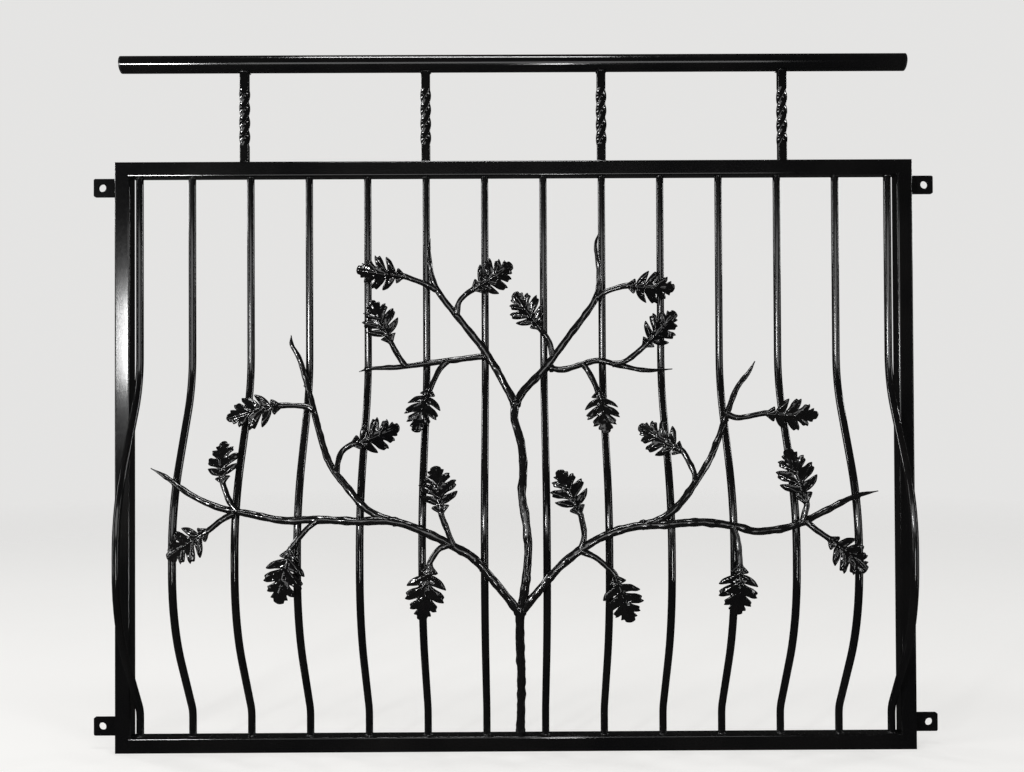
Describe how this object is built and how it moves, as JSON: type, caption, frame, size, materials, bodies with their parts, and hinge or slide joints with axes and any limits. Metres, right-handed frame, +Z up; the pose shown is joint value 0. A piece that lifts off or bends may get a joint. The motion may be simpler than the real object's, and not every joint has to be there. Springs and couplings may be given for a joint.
{
  "type": "window security bar",
  "caption": "Bow-fronted steel window guard with round upright bars, a handrail on twisted posts, fixing ears and a welded oak tree ornament.",
  "frame": {"origin": "middle of the four fixing holes, on the wall face of the ears", "axes": "+X to the right seen from the room's outside, +Y into the wall, +Z up; the bow faces -Y"},
  "size_m": [1.384, 0.1426, 1.1365],
  "materials": {
    "frame_paint": "gloss black paint",
    "bar_paint": "gloss black paint",
    "handrail_paint": "gloss black paint",
    "branch_paint": "gloss black paint on bark-textured steel",
    "leaf_paint": "gloss black paint on cast leaves",
    "cap_plastic": "gloss black"
  },
  "bodies": {
    "root": {"top_rail": "frame_paint", "bottom_rail": "frame_paint", "left_stile": "frame_paint", "right_stile": "frame_paint", "ear_top_left": "frame_paint", "ear_top_right": "frame_paint", "ear_bottom_left": "frame_paint", "ear_bottom_right": "frame_paint", "bar_01": "bar_paint", "bar_02": "bar_paint", "bar_03": "bar_paint", "bar_04": "bar_paint", "bar_05": "bar_paint", "bar_06": "bar_paint", "bar_07": "bar_paint", "bar_08": "bar_paint", "bar_09": "bar_paint", "bar_10": "bar_paint", "bar_11": "bar_paint", "bar_12": "bar_paint", "bar_13": "bar_paint", "bar_14": "bar_paint", "handrail_tube": "handrail_paint", "twisted_post_1": "handrail_paint", "twisted_post_2": "handrail_paint", "twisted_post_3": "handrail_paint", "twisted_post_4": "handrail_paint", "handrail_end_caps": "cap_plastic", "trunk": "branch_paint", "centre_stem": "branch_paint", "left_lower_limb": "branch_paint", "left_rising_branch": "branch_paint", "right_lower_limb": "branch_paint", "right_rising_branch": "branch_paint", "upper_left_limb": "branch_paint", "upper_left_side_branch": "branch_paint", "upper_right_limb": "branch_paint", "upper_right_side_branch": "branch_paint", "oak_leaf_01": "leaf_paint", "oak_leaf_02": "leaf_paint", "oak_leaf_03": "leaf_paint", "oak_leaf_04": "leaf_paint", "oak_leaf_05": "leaf_paint", "oak_leaf_06": "leaf_paint", "oak_leaf_07": "leaf_paint", "oak_leaf_08": "leaf_paint", "oak_leaf_09": "leaf_paint", "oak_leaf_10": "leaf_paint", "oak_leaf_11": "leaf_paint", "oak_leaf_12": "leaf_paint", "oak_leaf_13": "leaf_paint", "oak_leaf_14": "leaf_paint", "oak_leaf_15": "leaf_paint", "oak_leaf_16": "leaf_paint", "oak_leaf_17": "leaf_paint", "oak_leaf_18": "leaf_paint", "oak_leaf_19": "leaf_paint", "oak_leaf_20": "leaf_paint", "oak_leaf_21": "leaf_paint", "oak_leaf_22": "leaf_paint"}
  },
  "joints": []
}
